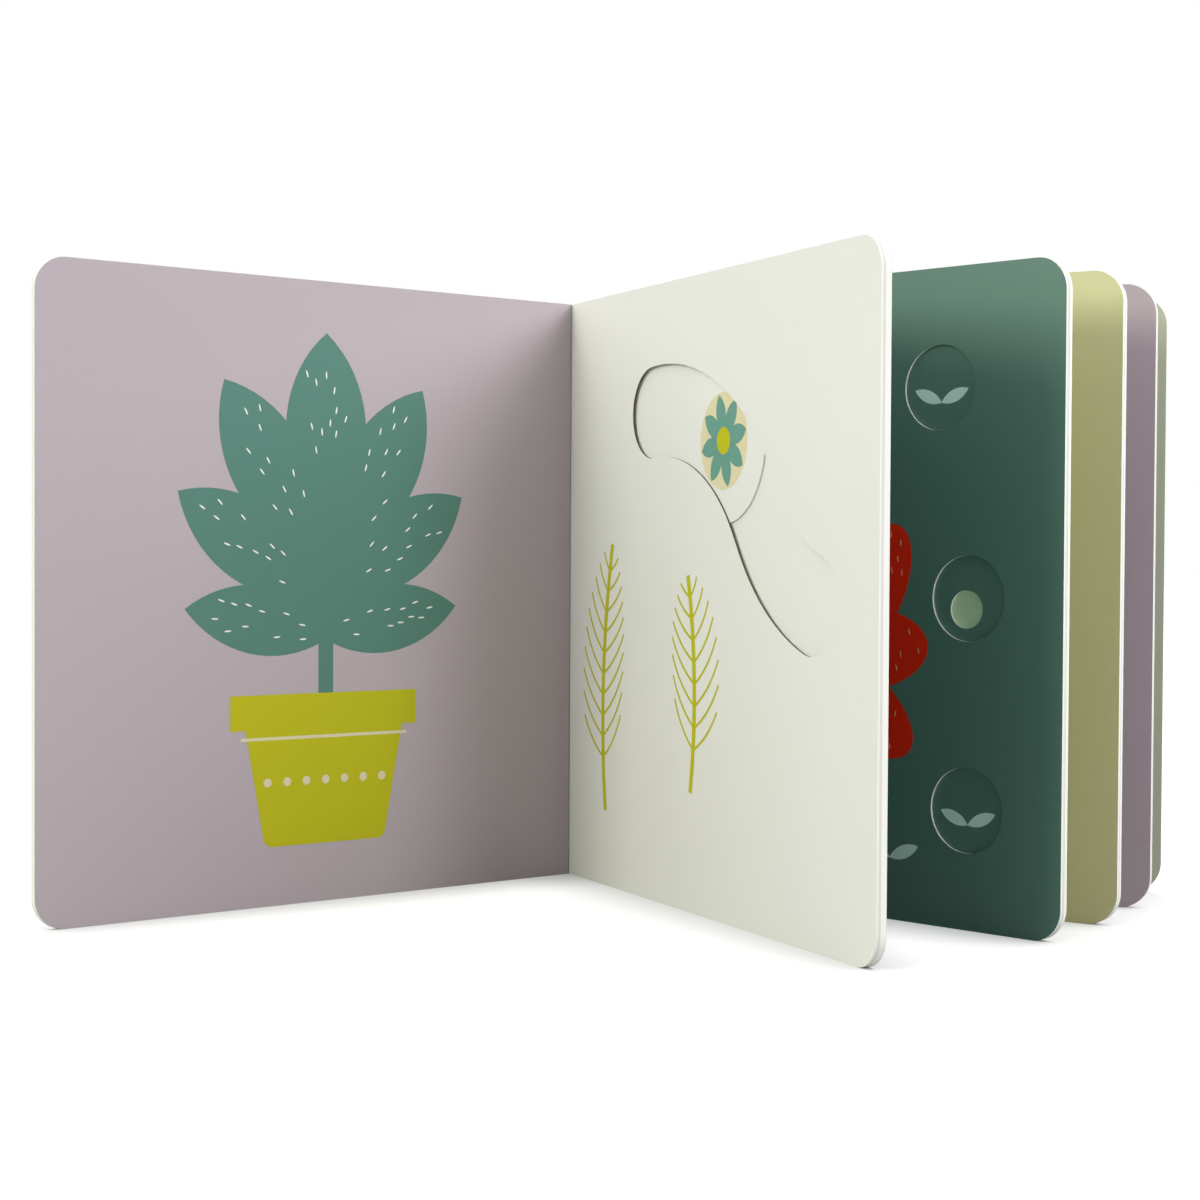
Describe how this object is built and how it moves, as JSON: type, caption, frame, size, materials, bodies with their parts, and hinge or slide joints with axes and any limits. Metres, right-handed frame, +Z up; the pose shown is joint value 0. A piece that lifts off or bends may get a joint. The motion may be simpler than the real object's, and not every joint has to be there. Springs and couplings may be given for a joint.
{
  "type": "board book",
  "caption": "Square board book standing open and fanned, with thick round-cornered leaves, a disc that slides behind a curved window and a card panel behind round windows.",
  "frame": {"origin": "foot of the glued spine, on the surface that the book stands on", "axes": "+X runs from the front cover to the fanned leaves, +Y runs away from the reader towards the spine, +Z is up along the spine"},
  "size_m": [0.3219, 0.1777, 0.18],
  "materials": {
    "page_board": "satin",
    "cover_board": "satin",
    "spine_board": "satin",
    "disc_card": "satin",
    "panel_card": "satin"
  },
  "bodies": {
    "page_block": {"pages": "page_board", "spine": "spine_board"},
    "front_cover": {"front_cover": "cover_board"},
    "back_cover": {"back_cover": "cover_board"},
    "slider_disc": {"slider_disc": "disc_card"},
    "window_panel": {"window_panel": "panel_card"}
  },
  "joints": [
    {"name": "front_cover_hinge", "type": "hinge", "parent": "page_block", "child": "front_cover", "pos_m": [-0.00256, -0.00637, 0], "axis": [0, 0, 1], "range_deg": [-100, 76.6]},
    {"name": "back_cover_hinge", "type": "hinge", "parent": "page_block", "child": "back_cover", "pos_m": [0.00248, 0.00645, 0], "axis": [0, 0, 1], "range_deg": [-9.3, 115]},
    {"name": "disc_slide", "type": "hinge", "parent": "page_block", "child": "slider_disc", "pos_m": [0.02101, -0.0561, 0.03764], "axis": [-0.9048, -0.4258, 0], "range_deg": [-36.2, 23.9]},
    {"name": "panel_slide", "type": "slide", "parent": "page_block", "child": "window_panel", "axis": [0, 0, 1], "range_m": [0, 0.0085]}
  ]
}
